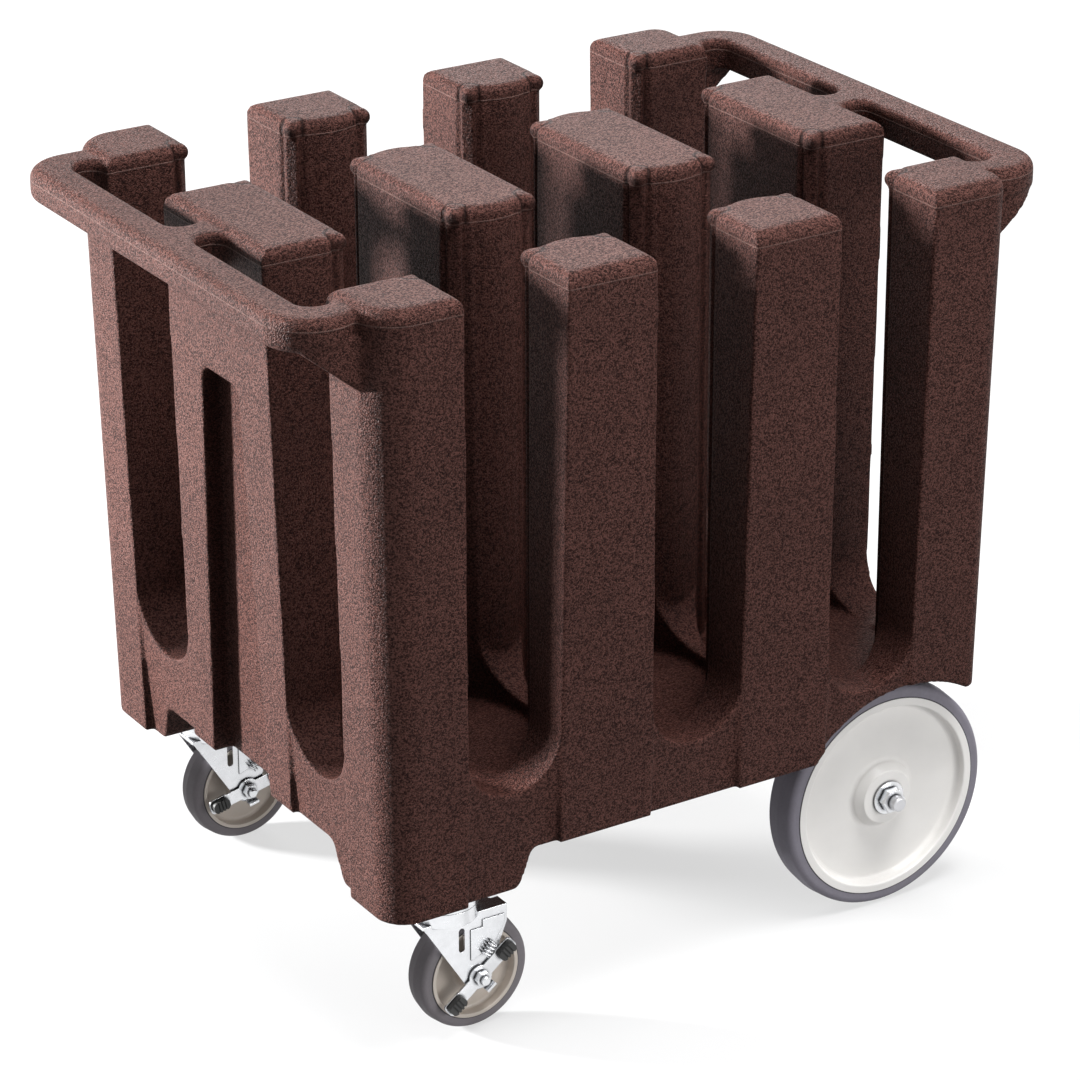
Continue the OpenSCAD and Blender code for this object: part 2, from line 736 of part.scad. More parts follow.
// Small coil spring beside the pedal: one tube swept along a helix
spring_r = 4.2;
spring_wire = 0.9;
spring_pitch = 4;
spring_turns = 4;
spring_rings = 8;
spring_sides = 6;
spring_lean = 40;
spring_ahead = 8;
spring_x = trail + spring_ahead;
spring_rise = 32;
spring_z = cw_r + spring_rise;
spring_n = spring_turns * spring_rings;
function coil_at(i) = [spring_r * cos(i * 360 / spring_rings), spring_r * sin(i * 360 / spring_rings),
    i * spring_pitch / spring_rings];
function wire_point(i, k) = let (a = i * 360 / spring_rings, b = k * 360 / spring_sides)
    coil_at(i) + spring_wire * [cos(b) * cos(a), cos(b) * sin(a), sin(b)];
spring_gap = spring_pitch - 2 * spring_wire;
echo(least_gap_between_spring_turns = spring_gap);
module coil() {
    polyhedron(
        points = [for (i = [0 : spring_n]) for (k = [0 : spring_sides - 1]) wire_point(i, k)],
        faces = concat(
            [for (i = [0 : spring_n - 1]) for (k = [0 : spring_sides - 1])
                let (a = i * spring_sides + k, b = i * spring_sides + (k + 1) % spring_sides)
                [a, a + spring_sides, b]],
            [for (i = [0 : spring_n - 1]) for (k = [0 : spring_sides - 1])
                let (a = i * spring_sides + k, b = i * spring_sides + (k + 1) % spring_sides)
                [b, a + spring_sides, b + spring_sides]],
            [for (k = [1 : spring_sides - 2]) [0, k, k + 1]],
            [for (k = [1 : spring_sides - 2]) let (e = spring_n * spring_sides) [e, e + k + 1, e + k]]));
}
module brake_spring() {
    color([0.8, 0.8, 0.84]) translate([spring_x, -leg_out - pad_t - spring_r - spring_wire - face_gap, spring_z])
        rotate([0, spring_lean, 0]) translate([0, 0, -spring_turns * spring_pitch / 2]) coil();
}

// Rear axle with its nuts and washers
washer_t = 2;
cup_washer_r = 18.5;
cup_washer_t = 3;
hub_out = 2;
rear_nut_r = 13.8;
rear_nut_h = 10;
axle_tip = 9;
axle_chamfer = 1.5;
hub_outer_y = wheel_y + tyre_w / 2 + hub_out;
hub_inner_y = hump_side + hump_w + washer_t + 2 * face_gap;
washer_out_y = hub_outer_y + face_gap;
module on_axle(y0, y1) {
    translate([axle_x, y1, wheel_r]) rotate([90, 0, 0]) linear_extrude(y1 - y0) children();
}
module rear_axle() {
    end = washer_out_y + cup_washer_t + rear_nut_h + axle_tip;
    color([0.78, 0.78, 0.8]) {
        on_axle(-end, end) circle(axle_r);
        both_sides() translate([axle_x, end, wheel_r]) rotate([-90, 0, 0])
            cylinder(r1 = axle_r, r2 = axle_r - axle_chamfer, h = axle_chamfer);
    }
}
module axle_nuts() {
    y = washer_out_y + cup_washer_t;
    color([0.86, 0.86, 0.88]) both_sides() on_axle(y, y + rear_nut_h) difference() {
        circle(rear_nut_r, $fn = 6);
        circle(axle_r);
    }
}
module outer_washers() {
    color([0.86, 0.86, 0.88]) both_sides() on_axle(washer_out_y, washer_out_y + cup_washer_t) difference() {
        circle(cup_washer_r);
        circle(axle_r + run_gap);
    }
}
module inner_washers() {
    y = hump_side + hump_w + face_gap;
    color([0.7, 0.7, 0.72]) both_sides() on_axle(y, y + washer_t) difference() {
        circle(cup_washer_r);
        circle(axle_r + run_gap);
    }
}

// Big wheel: moulded core, solid tyre and a long bearing in the hub
wheel_bearing_t = 4;
hub_r = 31;
hub_root_r = 36;
web_half = 4;
web_sink = 11;
core_edge_r = 2;
core_fillet_r = 6;
rim_t = 9;
rim_lip = 0.5;
core_bore_r = axle_r + run_gap + wheel_bearing_t;
tyre_edge_r = 7;
tyre_crown = 1.5;
module wheel_bearing() {
    color([0.75, 0.74, 0.7]) on_axle(hub_inner_y, hub_outer_y) difference() {
        circle(core_bore_r);
        circle(axle_r + run_gap);
    }
}
module wheel_core() {
    out = tyre_w / 2;
    web = out - web_sink;
    outer = core_face(core_bore_r, hub_r, hub_root_r, core_r - rim_t, core_r,
        [hub_outer_y - wheel_y, web, out + rim_lip], core_edge_r, core_fillet_r);
    inner = core_face(core_bore_r, hub_r, hub_root_r, core_r - rim_t, core_r,
        [wheel_y - hub_inner_y, 2 * web_half - web, out + rim_lip], core_edge_r, core_fillet_r);
    color([0.83, 0.82, 0.8]) translate([0, wheel_y, 0]) turned(axle_x, 0, wheel_r) core_section(outer, inner);
}
module wheel_tyre() {
    color([0.42, 0.4, 0.44]) turned(axle_x, wheel_y, wheel_r)
        tread_section(core_r, wheel_r, tyre_w, tyre_edge_r, tyre_crown);
}

// Places of the two casters and the two wheels
module at_right_caster() {
    translate([swivel_x, -swivel_y, 0]) children();
}
module at_left_caster() {
    translate([swivel_x, swivel_y, 0]) children();
}
module on_right() {
    mirror([0, 1, 0]) children();
}

body();
caster_inserts();
caster_bolts();
axle_sleeves();
at_right_caster() top_plate();  // top_plate_right
at_left_caster() top_plate();  // top_plate_left
at_right_caster() kingpin();  // kingpin_right
at_left_caster() kingpin();  // kingpin_left
at_right_caster() swivel_balls();  // swivel_balls_right
at_left_caster() swivel_balls();  // swivel_balls_left
at_right_caster() fork();  // fork_right
at_left_caster() fork();  // fork_left
at_right_caster() caster_axle();  // caster_axle_right
at_left_caster() caster_axle();  // caster_axle_left
at_right_caster() caster_nut();  // caster_nut_right
at_left_caster() caster_nut();  // caster_nut_left
at_right_caster() spacer_sleeve();  // spacer_sleeve_right
at_left_caster() spacer_sleeve();  // spacer_sleeve_left
at_right_caster() caster_bearing();  // caster_bearing_right
at_left_caster() caster_bearing();  // caster_bearing_left
at_right_caster() caster_core();  // caster_core_right
at_left_caster() caster_core();  // caster_core_left
at_right_caster() caster_tread();  // caster_tread_right
at_left_caster() caster_tread();  // caster_tread_left
at_right_caster() brake_pedal(pedal_angle_right);  // brake_pedal_right
at_left_caster() brake_pedal(pedal_angle_left);  // brake_pedal_left
at_right_caster() brake_pads(pedal_angle_right);  // brake_pads_right
at_left_caster() brake_pads(pedal_angle_left);  // brake_pads_left
at_right_caster() brake_spring();  // brake_spring_right
at_left_caster() brake_spring();  // brake_spring_left
rear_axle();
axle_nuts();
outer_washers();
inner_washers();
on_right() wheel_core();  // wheel_core_right
wheel_core();  // wheel_core_left
on_right() wheel_tyre();  // wheel_tyre_right
wheel_tyre();  // wheel_tyre_left
on_right() wheel_bearing();  // wheel_bearing_right
wheel_bearing();  // wheel_bearing_left
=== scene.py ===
import json
import math

import bmesh
import bpy
from mathutils import Matrix, Vector


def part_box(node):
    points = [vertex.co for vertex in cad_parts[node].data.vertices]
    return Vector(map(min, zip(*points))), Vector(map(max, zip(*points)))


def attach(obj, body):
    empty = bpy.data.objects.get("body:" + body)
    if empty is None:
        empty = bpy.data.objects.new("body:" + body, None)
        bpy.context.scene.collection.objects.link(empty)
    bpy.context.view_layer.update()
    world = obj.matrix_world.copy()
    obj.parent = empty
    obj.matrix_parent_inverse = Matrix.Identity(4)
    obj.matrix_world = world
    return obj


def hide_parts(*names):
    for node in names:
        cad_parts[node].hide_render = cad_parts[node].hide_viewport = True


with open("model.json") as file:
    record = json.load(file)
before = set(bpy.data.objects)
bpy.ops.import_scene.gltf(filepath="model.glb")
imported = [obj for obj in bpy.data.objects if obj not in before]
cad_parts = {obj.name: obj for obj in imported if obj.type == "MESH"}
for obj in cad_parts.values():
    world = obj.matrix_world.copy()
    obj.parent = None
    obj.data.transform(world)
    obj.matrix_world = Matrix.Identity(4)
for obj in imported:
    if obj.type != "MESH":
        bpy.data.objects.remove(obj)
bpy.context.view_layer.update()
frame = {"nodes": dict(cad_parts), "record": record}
NODES = frame["nodes"]
SLOT = {s["node"]: s["material_slot"] for s in frame["record"]["subparts"]}

# Lengths are in metres. Height of the post tops, and of the mould's parting line just under their rounded edges
TOP_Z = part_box("body")[1][2]
SEAM_Z = TOP_Z - 0.0155
SEAM_HALF = 0.0011

# The wells: pitch along the cart, and distance of each row from its middle line
COLUMN_PITCH, COLUMN_ROW = 0.215, 0.163

# The knobs on the guide ribs: distance from a well's axis, turn towards the posts, half sizes out of the well,
# along its rim and upwards, and depth of their middle under the post tops
KNOB_RING, KNOB_TURN = 0.0975, math.atan2(0.122, 0.114)
KNOB_SIZE = (0.0110, 0.0090, 0.0097)
KNOB_DEPTH = 0.0099

# Painted shade in the groove around each knob, a dark line with a slight bump: radius, distances from it where the
# line starts to fade and is gone, depths under the post tops where it starts and is full, and where it ends along
# the cart, short of the corner posts
# under the post tops where it starts and is full, and where it ends along the cart, short of the corner posts
GROOVE_RING = 0.0112
GROOVE_LINE = (0.0006, 0.0028)
GROOVE_DEPTHS = (0.0185, 0.0165)
GROOVE_ENDS_X = (0.316, 0.318)

VOXEL_QUICK, VOXEL, SMOOTH_ROUNDS = 0.0025, 0.0021, 3

# The brake springs: lean of their axis in degrees, radii of the coil and of the wire, pitch and number of turns
SPRING_LEAN, SPRING_R, WIRE_R, SPRING_PITCH, SPRING_TURNS = 40, 0.0042, 0.00085, 0.0036, 4.4
STEPS_PER_TURN, WIRE_SIDES = 28, 10

# The dark line where a tread meets its core: distance outside the core, and half width
TREAD_LINE_OUT, TREAD_LINE_HALF = 0.0004, 0.0011

# Samples of the materials' own ray tests
BEVEL_SAMPLES, CREVICE_SAMPLES = 6, 8

# Studio: light from all round, and the floor's own glow near the cart and far from it, as (distance, strength)
AMBIENT = 0.055
FLOOR_NEAR, FLOOR_FAR = (1.6, 0.65), (7.0, 0.99)
FLOOR_SIZE, FLOOR_Z = 30, -0.0004

# The camera: focal length and frame in pixels, place, and azimuth, elevation and roll in degrees
FOCAL_PX, FRAME_PX = 4100.0, 1080.0
CAMERA_AT = (-2.097, -3.351, 2.130)
CAMERA_ANGLES = (32.12, 23.79, 0.27)


def axis_of(name):
    """Where a wheel part's axis crosses the side view, and the part's radius."""
    lo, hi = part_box(name)
    return (lo[0] + hi[0]) / 2, (lo[2] + hi[2]) / 2, (hi[0] - lo[0]) / 2


# ---------------------------------------------------------------- node helpers
def new_material(name):
    m = bpy.data.materials.new(name)
    m.use_nodes = True
    nt = m.node_tree
    nt.nodes.clear()
    out = nt.nodes.new("ShaderNodeOutputMaterial")
    bsdf = nt.nodes.new("ShaderNodeBsdfPrincipled")
    nt.links.new(bsdf.outputs["BSDF"], out.inputs["Surface"])
    return m, nt, bsdf


def coords(nt, scale=(1, 1, 1)):
    tc = nt.nodes.new("ShaderNodeTexCoord")
    mp = nt.nodes.new("ShaderNodeMapping")
    mp.inputs["Scale"].default_value = scale
    nt.links.new(tc.outputs["Object"], mp.inputs["Vector"])
    return mp.outputs["Vector"]


def split(nt, vec):
    """The x, y and z of a vector."""
    sep = nt.nodes.new("ShaderNodeSeparateXYZ")
    nt.links.new(vec, sep.inputs["Vector"])
    return sep.outputs


def noise(nt, vec, scale, detail=2.0, rough=0.5):
    n = nt.nodes.new("ShaderNodeTexNoise")
    n.inputs["Scale"].default_value = scale
    n.inputs["Detail"].default_value = detail
    n.inputs["Roughness"].default_value = rough
    nt.links.new(vec, n.inputs["Vector"])
    return n.outputs["Fac"]


def pebbles(nt, vec, scale):
    """Closely packed pebbles: distance from the pebble's centre, and a random number for each."""
    n = nt.nodes.new("ShaderNodeTexVoronoi")
    n.inputs["Scale"].default_value = scale
    nt.links.new(vec, n.inputs["Vector"])
    sep = nt.nodes.new("ShaderNodeSeparateColor")
    nt.links.new(n.outputs["Color"], sep.inputs[0])
    return n.outputs["Distance"], sep.outputs[0]


def ramp(nt, fac, stops):
    """A colour ramp through stops of (position, colour)."""
    n = nt.nodes.new("ShaderNodeValToRGB")
    el = n.color_ramp.elements
    while len(el) < len(stops):
        el.new(0.5)
    for e, (p, c) in zip(el, stops):
        e.position = p
        e.color = (*c, 1.0)
    nt.links.new(fac, n.inputs["Fac"])
    return n.outputs["Color"]


def span(nt, fac, a, b, c, d):
    """Map a to c and b to d, and hold those values outside."""
    n = nt.nodes.new("ShaderNodeMapRange")
    n.inputs["From Min"].default_value = a
    n.inputs["From Max"].default_value = b
    n.inputs["To Min"].default_value = c
    n.inputs["To Max"].default_value = d
    nt.links.new(fac, n.inputs["Value"])
    return n.outputs["Result"]


def math_node(nt, op, a, b=0.0):
    n = nt.nodes.new("ShaderNodeMath")
    n.operation = op
    for i, v in enumerate((a, b)):
        if isinstance(v, (int, float)):
            n.inputs[i].default_value = v
        else:
            nt.links.new(v, n.inputs[i])
    return n.outputs[0]


def off_by(nt, a, b):
    """How far two values are apart."""
    return math_node(nt, "ABSOLUTE", math_node(nt, "SUBTRACT", a, b))


def length(nt, a, b):
    """The length of a vector of two values."""
    squares = math_node(nt, "ADD", math_node(nt, "MULTIPLY", a, a), math_node(nt, "MULTIPLY", b, b))
    return math_node(nt, "SQRT", squares)


def mix_color(nt, fac, a, b, blend="MIX"):
    n = nt.nodes.new("ShaderNodeMix")
    n.data_type = "RGBA"
    n.blend_type = blend
    for sock, v in ((n.inputs[0], fac), (n.inputs[6], a), (n.inputs[7], b)):
        if isinstance(v, (int, float)):
            sock.default_value = v
        elif isinstance(v, tuple):
            sock.default_value = (*v, 1.0)
        else:
            nt.links.new(v, sock)
    return n.outputs[2]


def scaled(color, factor):
    """A colour made darker or lighter."""
    return tuple(min(1.0, c * factor) for c in color)


def bump(nt, height, strength, distance, normal=None):
    n = nt.nodes.new("ShaderNodeBump")
    n.inputs["Strength"].default_value = strength
    n.inputs["Distance"].default_value = distance
    nt.links.new(height, n.inputs["Height"])
    if normal is not None:
        nt.links.new(normal, n.inputs["Normal"])
    return n.outputs["Normal"]


def bevel(nt, radius):
    n = nt.nodes.new("ShaderNodeBevel")
    n.samples = BEVEL_SAMPLES
    n.inputs["Radius"].default_value = radius
    return n.outputs["Normal"]


def painted_shade_mask(nt, reach, low, high):
    """Mask for painted shade: 0 in corners and hollows narrower than the reach, where shade falls, and 1 on open
    surfaces.
    """
    n = nt.nodes.new("ShaderNodeAmbientOcclusion")
    n.samples = CREVICE_SAMPLES
    n.inputs["Distance"].default_value = reach
    return span(nt, n.outputs["AO"], low, high, 0.0, 1.0)


def band(nt, vec, axis, at, half):
    """1 where one coordinate has the value, falling to 0 at half the width on either side."""
    return span(nt, off_by(nt, split(nt, vec)[axis], at), 0.0, half, 1.0, 0.0)


def ring(nt, vec, cx, cz, at, half):
    """1 on a circle about a wheel's axis, falling to 0 at half the width on either side."""
    xyz = split(nt, vec)
    r = length(nt, math_node(nt, "SUBTRACT", xyz[0], cx), math_node(nt, "SUBTRACT", xyz[2], cz))
    return span(nt, off_by(nt, r, at), half * 0.4, half, 1.0, 0.0)


def knob_groove_shade_mask(nt, vec):
    """1 on the thin ring of painted shade around each rib's knob at the top of the wells, where the knob meets the
    rim, and 0 elsewhere.
    """
    xyz = split(nt, vec)
    wrap = nt.nodes.new("ShaderNodeMath")
    wrap.operation = "WRAP"
    nt.links.new(xyz[0], wrap.inputs[0])
    wrap.inputs[1].default_value = COLUMN_PITCH / 2
    wrap.inputs[2].default_value = -COLUMN_PITCH / 2
    along = math_node(nt, "SUBTRACT", math_node(nt, "ABSOLUTE", wrap.outputs[0]), KNOB_RING * math.cos(KNOB_TURN))
    row = math_node(nt, "SUBTRACT", math_node(nt, "ABSOLUTE", xyz[1]), COLUMN_ROW)
    across = math_node(nt, "SUBTRACT", math_node(nt, "ABSOLUTE", row), KNOB_RING * math.sin(KNOB_TURN))
    line = span(nt, off_by(nt, length(nt, along, across), GROOVE_RING), *GROOVE_LINE, 1.0, 0.0)
    high = span(nt, xyz[2], TOP_Z - GROOVE_DEPTHS[0], TOP_Z - GROOVE_DEPTHS[1], 0.0, 1.0)
    near = span(nt, math_node(nt, "ABSOLUTE", xyz[0]), *GROOVE_ENDS_X, 1.0, 0.0)
    return math_node(nt, "MULTIPLY", line, math_node(nt, "MULTIPLY", high, near))


# ---------------------------------------------------------------- materials
def moulded_plastic():
    """Pebbled brown plastic with painted shade in creases, wells, slots and round the knobs, and the pale line
    where the mould parts.
    """
    m, nt, b = new_material("pebbled_brown_plastic")
    v = coords(nt)
    dome, shade = pebbles(nt, v, 700.0)
    pebble = noise(nt, v, 520.0, 2.0, 0.6)
    cloud = noise(nt, v, 7.0, 3.0, 0.5)
    wave = noise(nt, v, 3.5, 2.0, 0.5)
    grain = math_node(nt, "ADD", math_node(nt, "MULTIPLY", span(nt, pebble, 0.3, 0.7, 0.0, 1.0), 0.45),
                      math_node(nt, "MULTIPLY", shade, 0.55))
    seam = band(nt, v, 2, SEAM_Z, SEAM_HALF)
    groove_shade = knob_groove_shade_mask(nt, v)

    tone = mix_color(nt, span(nt, cloud, 0.3, 0.7, 0.0, 1.0), (0.043, 0.0160, 0.0124), (0.052, 0.0196, 0.0152))
    low = mix_color(nt, 1.0, tone, (0.30, 0.28, 0.29), "MULTIPLY")
    high = mix_color(nt, 1.0, tone, (1.95, 2.20, 2.30), "MULTIPLY")
    color = mix_color(nt, span(nt, grain, 0.30, 0.70, 0.0, 1.0), low, high)
    # Painted shade: creases narrower than the short reach darkened to near black
    color = mix_color(nt, painted_shade_mask(nt, 0.006, 0.45, 0.90), (0.0080, 0.0024, 0.0018), color)
    # Painted shade: wells, slots and other deep hollows darkened and reddened towards their depths
    painted_well_shade = mix_color(nt, 1.0, color, (0.24, 0.13, 0.10), "MULTIPLY")
    color = mix_color(nt, painted_shade_mask(nt, 0.22, 0.25, 0.88), painted_well_shade, color)
    color = mix_color(nt, math_node(nt, "MULTIPLY", seam, 0.55), color, (0.17, 0.105, 0.092))
    # Painted shade: a near-black ring round each knob, where the moulding would be shadowed
    color = mix_color(nt, math_node(nt, "MULTIPLY", groove_shade, 0.80), color, (0.0060, 0.0020, 0.0016))
    nt.links.new(color, b.inputs["Base Color"])
    nt.links.new(span(nt, grain, 0.25, 0.75, 0.62, 0.40), b.inputs["Roughness"])
    b.inputs["Specular IOR Level"].default_value = 0.06

    normal = bump(nt, wave, 0.10, 0.004)
    normal = bump(nt, span(nt, dome, 0.0, 0.7, 1.0, 0.0), 0.8, 0.0009, normal)
    normal = bump(nt, pebble, 0.9, 0.0016, normal)
    normal = bump(nt, math_node(nt, "SUBTRACT", seam, groove_shade), 0.6, 0.0010, normal)
    nt.links.new(normal, b.inputs["Normal"])
    return m


def smooth_plastic(name, base, rough):
    """Smooth moulded plastic, a little cloudy, with painted shade in narrow corners."""
    m, nt, b = new_material(name)
    v = coords(nt)
    cloud = noise(nt, v, 14.0, 4.0, 0.55)
    fine = noise(nt, v, 1400.0, 2.0, 0.5)
    tint = mix_color(nt, span(nt, cloud, 0.3, 0.7, 0.0, 1.0), scaled(base, 0.955), scaled(base, 1.03))
    # Painted shade: narrow corners darkened to a third of the base colour
    nt.links.new(mix_color(nt, painted_shade_mask(nt, 0.004, 0.35, 0.85), scaled(base, 0.30), tint), b.inputs["Base Color"])
    nt.links.new(span(nt, cloud, 0.3, 0.7, rough - 0.04, rough + 0.08), b.inputs["Roughness"])
    nt.links.new(bump(nt, fine, 0.08, 0.0002, bevel(nt, 0.0006)), b.inputs["Normal"])
    b.inputs["Specular IOR Level"].default_value = 0.45
    return m


def grey_rubber(name, tone, core_node):
    """Tyre rubber, with the dark line where it meets the core."""
    m, nt, b = new_material(name)
    v = coords(nt)
    cloud = noise(nt, v, 22.0, 5.0, 0.6)
    dust = noise(nt, v, 320.0, 3.0, 0.6)
    fac = math_node(nt, "ADD", math_node(nt, "MULTIPLY", cloud, 0.7), math_node(nt, "MULTIPLY", dust, 0.3))
    col = ramp(nt, fac, [(0.25, scaled(tone, 0.84)), (0.5, tone), (0.8, scaled(tone, 1.22))])
    cx, cz, core = axis_of(core_node)
    line = ring(nt, v, cx, cz, core + TREAD_LINE_OUT, TREAD_LINE_HALF)
    nt.links.new(mix_color(nt, math_node(nt, "MULTIPLY", line, 0.85), col, (0.022, 0.020, 0.023)),
                 b.inputs["Base Color"])
    nt.links.new(span(nt, cloud, 0.3, 0.7, 0.60, 0.76), b.inputs["Roughness"])
    nt.links.new(bump(nt, dust, 0.22, 0.0005), b.inputs["Normal"])
    b.inputs["Specular IOR Level"].default_value = 0.3
    return m


def metal(name, base, rough, grain=(1, 1, 1)):
    """Plated or plain metal with a cloudy surface, and painted shade as dark lines in narrow gaps."""
    m, nt, b = new_material(name)
    v = coords(nt, grain)
    cloud = noise(nt, v, 60.0, 4.0, 0.6)
    fine = noise(nt, v, 900.0, 3.0, 0.6)
    tint = mix_color(nt, span(nt, cloud, 0.25, 0.75, 0.0, 1.0), scaled(base, 0.84), base)
    # Painted shade: narrow gaps and contact lines between parts darkened to near black
    nt.links.new(mix_color(nt, painted_shade_mask(nt, 0.005, 0.50, 0.90), (0.018, 0.018, 0.022), tint), b.inputs["Base Color"])
    nt.links.new(span(nt, cloud, 0.3, 0.7, rough, rough + 0.14), b.inputs["Roughness"])
    nt.links.new(bump(nt, fine, 0.12, 0.0002, bevel(nt, 0.0007)), b.inputs["Normal"])
    b.inputs["Metallic"].default_value = 1.0
    return m


def black_rubber():
    m, nt, b = new_material("black_pad_rubber")
    v = coords(nt)
    grain = noise(nt, v, 1200.0, 3.0, 0.6)
    cloud = noise(nt, v, 70.0, 3.0, 0.5)
    nt.links.new(mix_color(nt, span(nt, cloud, 0.3, 0.7, 0.0, 1.0), (0.012, 0.012, 0.012), (0.03, 0.029, 0.028)),
                 b.inputs["Base Color"])
    nt.links.new(span(nt, grain, 0.3, 0.7, 0.5, 0.72), b.inputs["Roughness"])
    nt.links.new(bump(nt, grain, 0.3, 0.0003), b.inputs["Normal"])
    return m


MAT = {
    "body_plastic": moulded_plastic(),
    "wheel_core": smooth_plastic("white_core_plastic", (0.83, 0.812, 0.79), 0.34),
    "caster_core": smooth_plastic("grey_core_plastic", (0.60, 0.535, 0.475), 0.36),
    "bearing_plastic": smooth_plastic("bearing_acetal", (0.70, 0.67, 0.60), 0.4),
    "grey_tread": grey_rubber("grey_caster_rubber", (0.190, 0.174, 0.186), "caster_core_right"),
    "zinc_steel": metal("bright_zinc", (0.80, 0.81, 0.83), 0.16),
    "plain_steel": metal("drawn_steel", (0.62, 0.62, 0.64), 0.28, (1, 1, 30)),
    "brass": metal("machined_brass", (0.66, 0.50, 0.22), 0.26),
    "black_rubber": black_rubber(),
}
BIG_TREAD = grey_rubber("grey_tyre_rubber", (0.200, 0.188, 0.222), "wheel_core_right")
for name, ob in NODES.items():
    ob.data.materials.clear()
    ob.data.materials.append(BIG_TREAD if name.startswith("wheel_tyre") else MAT[SLOT[name]])


# ---------------------------------------------------------------- the scene's own pieces
def object_of(name, bm):
    """An object with the mesh, in the scene."""
    mesh = bpy.data.meshes.new(name)
    bm.to_mesh(mesh)
    bm.free()
    ob = bpy.data.objects.new(name, mesh)
    bpy.context.scene.collection.objects.link(ob)
    return ob


def bake_modifiers(ob):
    bpy.context.view_layer.update()
    deps = bpy.context.evaluated_depsgraph_get()
    mesh = bpy.data.meshes.new_from_object(ob.evaluated_get(deps))
    ob.modifiers.clear()
    old = ob.data
    ob.data = mesh
    bpy.data.meshes.remove(old)


def dress(ob, material):
    """One material and smooth shading."""
    mesh = ob.data
    mesh.materials.clear()
    mesh.materials.append(material)
    mesh.polygons.foreach_set("use_smooth", [True] * len(mesh.polygons))
    mesh.update()


def rib_knobs(bm):
    """A small rounded knob on the top end of each guide rib, where the rib meets the rim of its well."""
    for cx in (-COLUMN_PITCH, 0.0, COLUMN_PITCH):
        for cy in (-COLUMN_ROW, COLUMN_ROW):
            for sx in (-1, 1):
                for sy in (-1, 1):
                    a = math.atan2(sy * math.sin(KNOB_TURN), sx * math.cos(KNOB_TURN))
                    at = Matrix.Translation((cx + KNOB_RING * math.cos(a), cy + KNOB_RING * math.sin(a),
                                             TOP_Z - KNOB_DEPTH))
                    size = Matrix.Diagonal((*KNOB_SIZE, 1.0))
                    bmesh.ops.create_uvsphere(bm, u_segments=20, v_segments=12, radius=1.0,
                                              matrix=at @ Matrix.Rotation(a, 4, "Z") @ size)


def moulded_body():
    """The CAD body with the knobs, its edges softened as moulding leaves them."""
    bm = bmesh.new()
    bm.from_mesh(NODES["body"].data)
    rib_knobs(bm)
    ob = object_of("moulded_body", bm)
    remesh = ob.modifiers.new("remesh", "REMESH")
    remesh.mode = "VOXEL"
    remesh.voxel_size = VOXEL
    soften = ob.modifiers.new("soften", "SMOOTH")
    soften.factor = 0.5
    soften.iterations = SMOOTH_ROUNDS
    bake_modifiers(ob)
    dress(ob, MAT["body_plastic"])
    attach(ob, "cart")
    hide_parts("body")


def coil_spring(name, stands_for, body):
    """A wound wire spring on the leaning axis of the CAD's."""
    lo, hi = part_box(stands_for)
    mid = (Vector(lo) + Vector(hi)) / 2
    lean = math.radians(SPRING_LEAN)
    axis = Vector((math.sin(lean), 0, math.cos(lean)))
    side = Vector((math.cos(lean), 0, -math.sin(lean)))
    out = Vector((0, 1, 0))
    steps = int(SPRING_TURNS * STEPS_PER_TURN)
    bm = bmesh.new()
    rings = []
    for i in range(steps + 1):
        t = SPRING_TURNS * i / steps
        a = 2 * math.pi * t
        around = side * math.cos(a) + out * math.sin(a)
        at = mid + around * SPRING_R + axis * ((t - SPRING_TURNS / 2) * SPRING_PITCH)
        rings.append([bm.verts.new(at + (around * math.cos(b) + axis * math.sin(b)) * WIRE_R)
                      for b in (2 * math.pi * k / WIRE_SIDES for k in range(WIRE_SIDES))])
    for p, q in zip(rings, rings[1:]):
        for k in range(WIRE_SIDES):
            n = (k + 1) % WIRE_SIDES
            bm.faces.new((p[k], p[n], q[n], q[k]))
    bm.faces.new(rings[0][::-1])
    bm.faces.new(rings[-1])
    bmesh.ops.recalc_face_normals(bm, faces=bm.faces)
    ob = object_of(name, bm)
    dress(ob, MAT["zinc_steel"])
    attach(ob, body)
    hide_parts(stands_for)


moulded_body()
coil_spring("coil_spring_right", "brake_spring_right", "swivel_right")
coil_spring("coil_spring_left", "brake_spring_left", "swivel_left")


# ---------------------------------------------------------------- studio
def seen_ray(nt):
    """1 for rays that show the background: from the camera, off a glossy surface or through glass."""
    lp = nt.nodes.new("ShaderNodeLightPath")
    both = math_node(nt, "MAXIMUM", lp.outputs["Is Camera Ray"], lp.outputs["Is Glossy Ray"])
    return math_node(nt, "MAXIMUM", both, lp.outputs["Is Transmission Ray"])


def surroundings():
    """White where it is seen, and weak as a light."""
    world = bpy.data.worlds.new("studio")
    bpy.context.scene.world = world
    world.use_nodes = True
    nt = world.node_tree
    nt.nodes.clear()
    out = nt.nodes.new("ShaderNodeOutputWorld")
    mix = nt.nodes.new("ShaderNodeMixShader")
    nt.links.new(seen_ray(nt), mix.inputs[0])
    for i, strength in ((1, AMBIENT), (2, 1.0)):
        back = nt.nodes.new("ShaderNodeBackground")
        back.inputs["Color"].default_value = (1, 1, 1, 1)
        back.inputs["Strength"].default_value = strength
        nt.links.new(back.outputs[0], mix.inputs[i])
    nt.links.new(mix.outputs[0], out.inputs["Surface"])


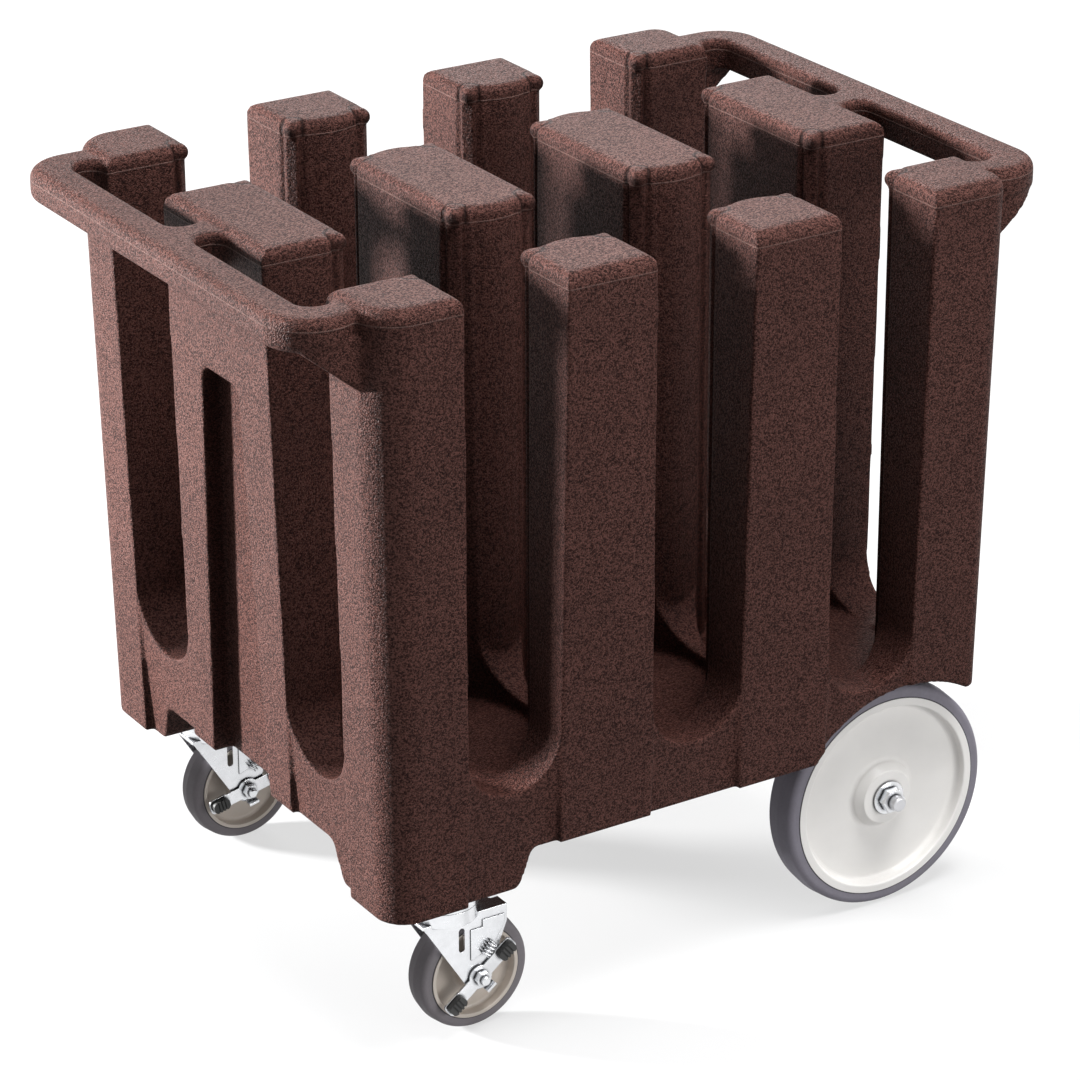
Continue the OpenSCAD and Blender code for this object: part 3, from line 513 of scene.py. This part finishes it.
def pale_floor():
    """A plain pale floor that takes the shadow and fades to white far away."""
    bm = bmesh.new()
    bmesh.ops.create_grid(bm, x_segments=2, y_segments=2, size=FLOOR_SIZE)
    floor = object_of("floor", bm)
    floor.location.z = FLOOR_Z
    m, nt, b = new_material("pale_floor")
    v = coords(nt)
    tint = mix_color(nt, noise(nt, v, 2.0, 2.0, 0.5), (0.195, 0.195, 0.197), (0.205, 0.205, 0.206))
    nt.links.new(tint, b.inputs["Base Color"])
    b.inputs["Roughness"].default_value = 0.9
    b.inputs["Specular IOR Level"].default_value = 0.0
    away = nt.nodes.new("ShaderNodeVectorMath")
    away.operation = "LENGTH"
    nt.links.new(v, away.inputs[0])
    white = span(nt, away.outputs["Value"], FLOOR_NEAR[0], FLOOR_FAR[0], FLOOR_NEAR[1], FLOOR_FAR[1])
    glow = nt.nodes.new("ShaderNodeEmission")
    glow.inputs["Color"].default_value = (1, 1, 1, 1)
    nt.links.new(math_node(nt, "MULTIPLY", seen_ray(nt), white), glow.inputs["Strength"])
    add = nt.nodes.new("ShaderNodeAddShader")
    nt.links.new(b.outputs["BSDF"], add.inputs[0])
    nt.links.new(glow.outputs["Emission"], add.inputs[1])
    out = next(n for n in nt.nodes if n.type == "OUTPUT_MATERIAL")
    nt.links.new(add.outputs[0], out.inputs["Surface"])
    floor.data.materials.append(m)


def area(name, at, to, size, power):
    """A rectangular lamp at one point that faces another."""
    light = bpy.data.lights.new(name, "AREA")
    light.shape = "RECTANGLE"
    light.size, light.size_y = size
    light.energy = power
    ob = bpy.data.objects.new(name, light)
    bpy.context.scene.collection.objects.link(ob)
    ob.location = at
    ob.rotation_euler = (Vector(to) - Vector(at)).to_track_quat("-Z", "Y").to_euler()
    return ob


def shade_from(lamp, names):
    """Keep a lamp's light off some nodes."""
    shaded = bpy.data.collections.new("shaded_from_" + lamp.name)
    for name in names:
        shaded.objects.link(NODES[name])
    for item in shaded.collection_objects:
        item.light_linking.link_state = "EXCLUDE"
    lamp.light_linking.receiver_collection = shaded


def camera():
    cam = bpy.data.cameras.new("camera")
    ob = bpy.data.objects.new("camera", cam)
    bpy.context.scene.collection.objects.link(ob)
    bpy.context.scene.camera = ob
    cam.sensor_fit = "AUTO"
    cam.sensor_width = 36.0
    cam.lens = cam.sensor_width * FOCAL_PX / FRAME_PX
    az, el, roll = (math.radians(a) for a in CAMERA_ANGLES)
    fwd = Vector((math.sin(az) * math.cos(el), math.cos(az) * math.cos(el), -math.sin(el)))
    right = fwd.cross(Vector((0, 0, 1))).normalized()
    down = fwd.cross(right)
    r = right * math.cos(roll) + down * math.sin(roll)
    d = down * math.cos(roll) - right * math.sin(roll)
    m = Matrix((r, -d, -fwd)).transposed().to_4x4()
    m.translation = Vector(CAMERA_AT)
    ob.matrix_world = m
    cam.clip_start = 0.05
    cam.clip_end = 100


surroundings()
pale_floor()
key = area("key", (-3.02, 2.6, 1.10), (0, 0, 0.5), (0.45, 0.45), 830)
# The low key lamp would clip these pale wheel parts to white as seen from behind
shade_from(key, ("caster_tread_right", "caster_tread_left", "caster_core_right", "caster_core_left",
                 "wheel_core_left", "wheel_tyre_left"))
area("top", (0.3, -0.7, 3.4), (0, 0, 0.6), (1.8, 1.8), 206)
area("fill", (1.7, -4.2, 1.3), (0, 0, 0.4), (2.4, 1.5), 95)
area("back", (2.2, 3.4, 2.3), (0, 0, 0.7), (2.2, 1.4), 86)
camera()

bpy.context.scene.view_settings.view_transform = "Standard"
